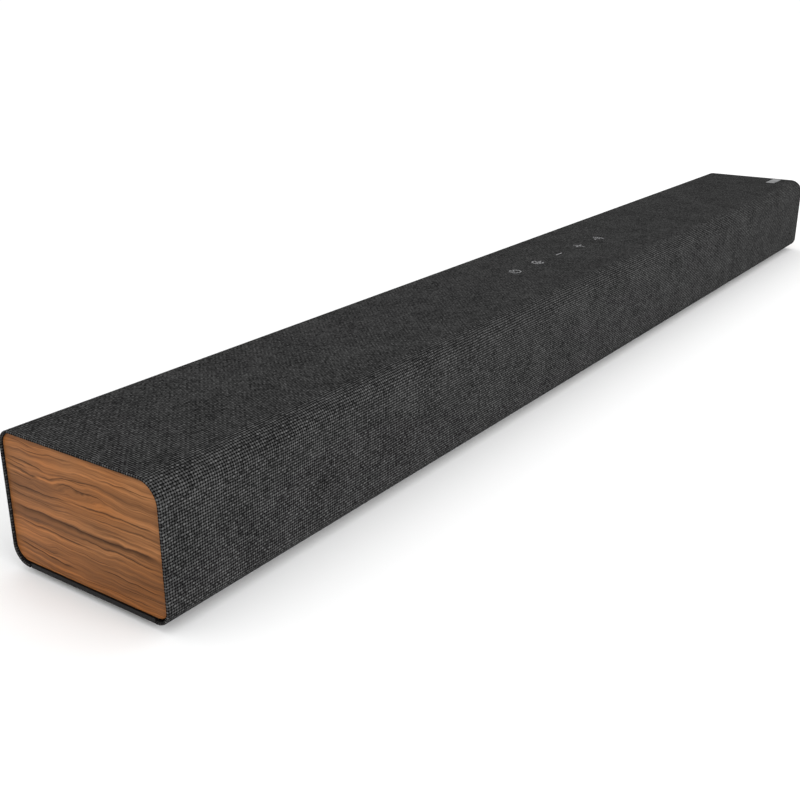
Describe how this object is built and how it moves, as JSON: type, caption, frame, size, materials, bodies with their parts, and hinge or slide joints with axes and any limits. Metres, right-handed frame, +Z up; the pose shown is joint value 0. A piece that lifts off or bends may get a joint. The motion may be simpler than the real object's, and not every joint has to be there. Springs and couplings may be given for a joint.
{
  "type": "soundbar",
  "caption": "Long low soundbar in a dark woven sleeve with walnut end panels, touch-through top keys, front drivers, a down-firing woofer, rear sockets and wall keyholes.",
  "frame": {"origin": "middle of the bar's footprint, on the plane that its rubber feet stand on", "axes": "+X to the listener's right along the bar, -Y towards the listener, +Z up"},
  "size_m": [0.89, 0.102, 0.0708],
  "materials": {
    "sleeve_cloth": "woven, matte",
    "black_plastic": "fine texture",
    "walnut": "satin",
    "foot_rubber": "matte",
    "black_screw": "black oxide",
    "plated_screw": "plated",
    "badge_metal": "brushed",
    "mark_ink": "printed",
    "key_plastic": "smooth",
    "stem_plastic": "smooth",
    "board_laminate": "solder mask",
    "chip_plastic": "moulded",
    "clear_plastic": "clear",
    "heatsink_aluminium": "extruded",
    "transformer_iron": "plain",
    "socket_steel": "plated",
    "basket_metal": "black",
    "cone_plastic": "fine texture"
  },
  "bodies": {
    "bar": {"fabric_sleeve": "sleeve_cloth", "grille_carrier": "black_plastic", "left_wood_panel": "walnut", "right_wood_panel": "walnut", "left_end_frame": "black_plastic", "right_end_frame": "black_plastic", "base_plate": "black_plastic", "rubber_feet": "foot_rubber", "base_screws": "black_screw", "rear_bay": "black_plastic", "left_keyhole_insert": "black_plastic", "right_keyhole_insert": "black_plastic", "badge": "badge_metal", "control_icons": "mark_ink", "keypad_bracket": "black_plastic", "key_board": "board_laminate", "tact_switches": "black_plastic", "status_board": "board_laminate", "status_lenses": "clear_plastic", "ir_receiver": "chip_plastic", "main_board": "board_laminate", "board_chips": "chip_plastic", "amplifier_heatsink": "heatsink_aluminium", "power_board": "board_laminate", "power_transformer": "transformer_iron", "power_capacitors": "heatsink_aluminium", "power_inlet": "black_plastic", "hdmi_socket": "socket_steel", "optical_socket": "black_plastic", "usb_socket": "socket_steel", "aux_socket": "black_plastic", "left_driver_basket": "basket_metal", "left_driver_magnet": "transformer_iron", "left_driver_surround": "foot_rubber", "right_driver_basket": "basket_metal", "right_driver_magnet": "transformer_iron", "right_driver_surround": "foot_rubber", "woofer_basket": "basket_metal", "woofer_magnet": "transformer_iron", "woofer_surround": "foot_rubber", "left_speaker_box": "black_plastic", "right_speaker_box": "black_plastic", "woofer_box": "black_plastic", "port_tube": "black_plastic", "driver_screws": "plated_screw", "internal_cables": "foot_rubber"},
    "power_key": {"key_power": "key_plastic", "stem_power": "stem_plastic"},
    "input_key": {"key_input": "key_plastic", "stem_input": "stem_plastic"},
    "volume_down_key": {"key_volume_down": "key_plastic", "stem_volume_down": "stem_plastic"},
    "volume_up_key": {"key_volume_up": "key_plastic", "stem_volume_up": "stem_plastic"},
    "pairing_key": {"key_pairing": "key_plastic", "stem_pairing": "stem_plastic"},
    "left_cone": {"left_driver_cone": "cone_plastic"},
    "right_cone": {"right_driver_cone": "cone_plastic"},
    "woofer_cone": {"woofer_cone": "cone_plastic"},
    "optical_flap": {"optical_shutter": "black_plastic"}
  },
  "joints": [
    {"name": "power_press", "type": "slide", "parent": "bar", "child": "power_key", "axis": [0, 0, -1], "range_m": [0, 0.0006], "stiffness_N_per_m": 900, "springref_m": -0.0003},
    {"name": "input_press", "type": "slide", "parent": "bar", "child": "input_key", "axis": [0, 0, -1], "range_m": [0, 0.0006], "stiffness_N_per_m": 900, "springref_m": -0.0003},
    {"name": "volume_down_press", "type": "slide", "parent": "bar", "child": "volume_down_key", "axis": [0, 0, -1], "range_m": [0, 0.0006], "stiffness_N_per_m": 900, "springref_m": -0.0003},
    {"name": "volume_up_press", "type": "slide", "parent": "bar", "child": "volume_up_key", "axis": [0, 0, -1], "range_m": [0, 0.0006], "stiffness_N_per_m": 900, "springref_m": -0.0003},
    {"name": "pairing_press", "type": "slide", "parent": "bar", "child": "pairing_key", "axis": [0, 0, -1], "range_m": [0, 0.0006], "stiffness_N_per_m": 900, "springref_m": -0.0003},
    {"name": "left_cone_stroke", "type": "slide", "parent": "bar", "child": "left_cone", "axis": [0, -1, 0], "range_m": [-0.002, 0.002], "stiffness_N_per_m": 1500, "deforming": ["left_driver_surround"]},
    {"name": "right_cone_stroke", "type": "slide", "parent": "bar", "child": "right_cone", "axis": [0, -1, 0], "range_m": [-0.002, 0.002], "stiffness_N_per_m": 1500, "deforming": ["right_driver_surround"]},
    {"name": "woofer_cone_stroke", "type": "slide", "parent": "bar", "child": "woofer_cone", "axis": [0, 0, -1], "range_m": [-0.004, 0.004], "stiffness_N_per_m": 1200, "deforming": ["woofer_surround"]},
    {"name": "optical_flap_swing", "type": "hinge", "parent": "bar", "child": "optical_flap", "pos_m": [-0.004, 0.0238, 0.0388], "axis": [-1, 0, 0], "range_deg": [0, 80], "stiffness_Nm_per_rad": 0.0002, "springref_deg": -11.46}
  ]
}
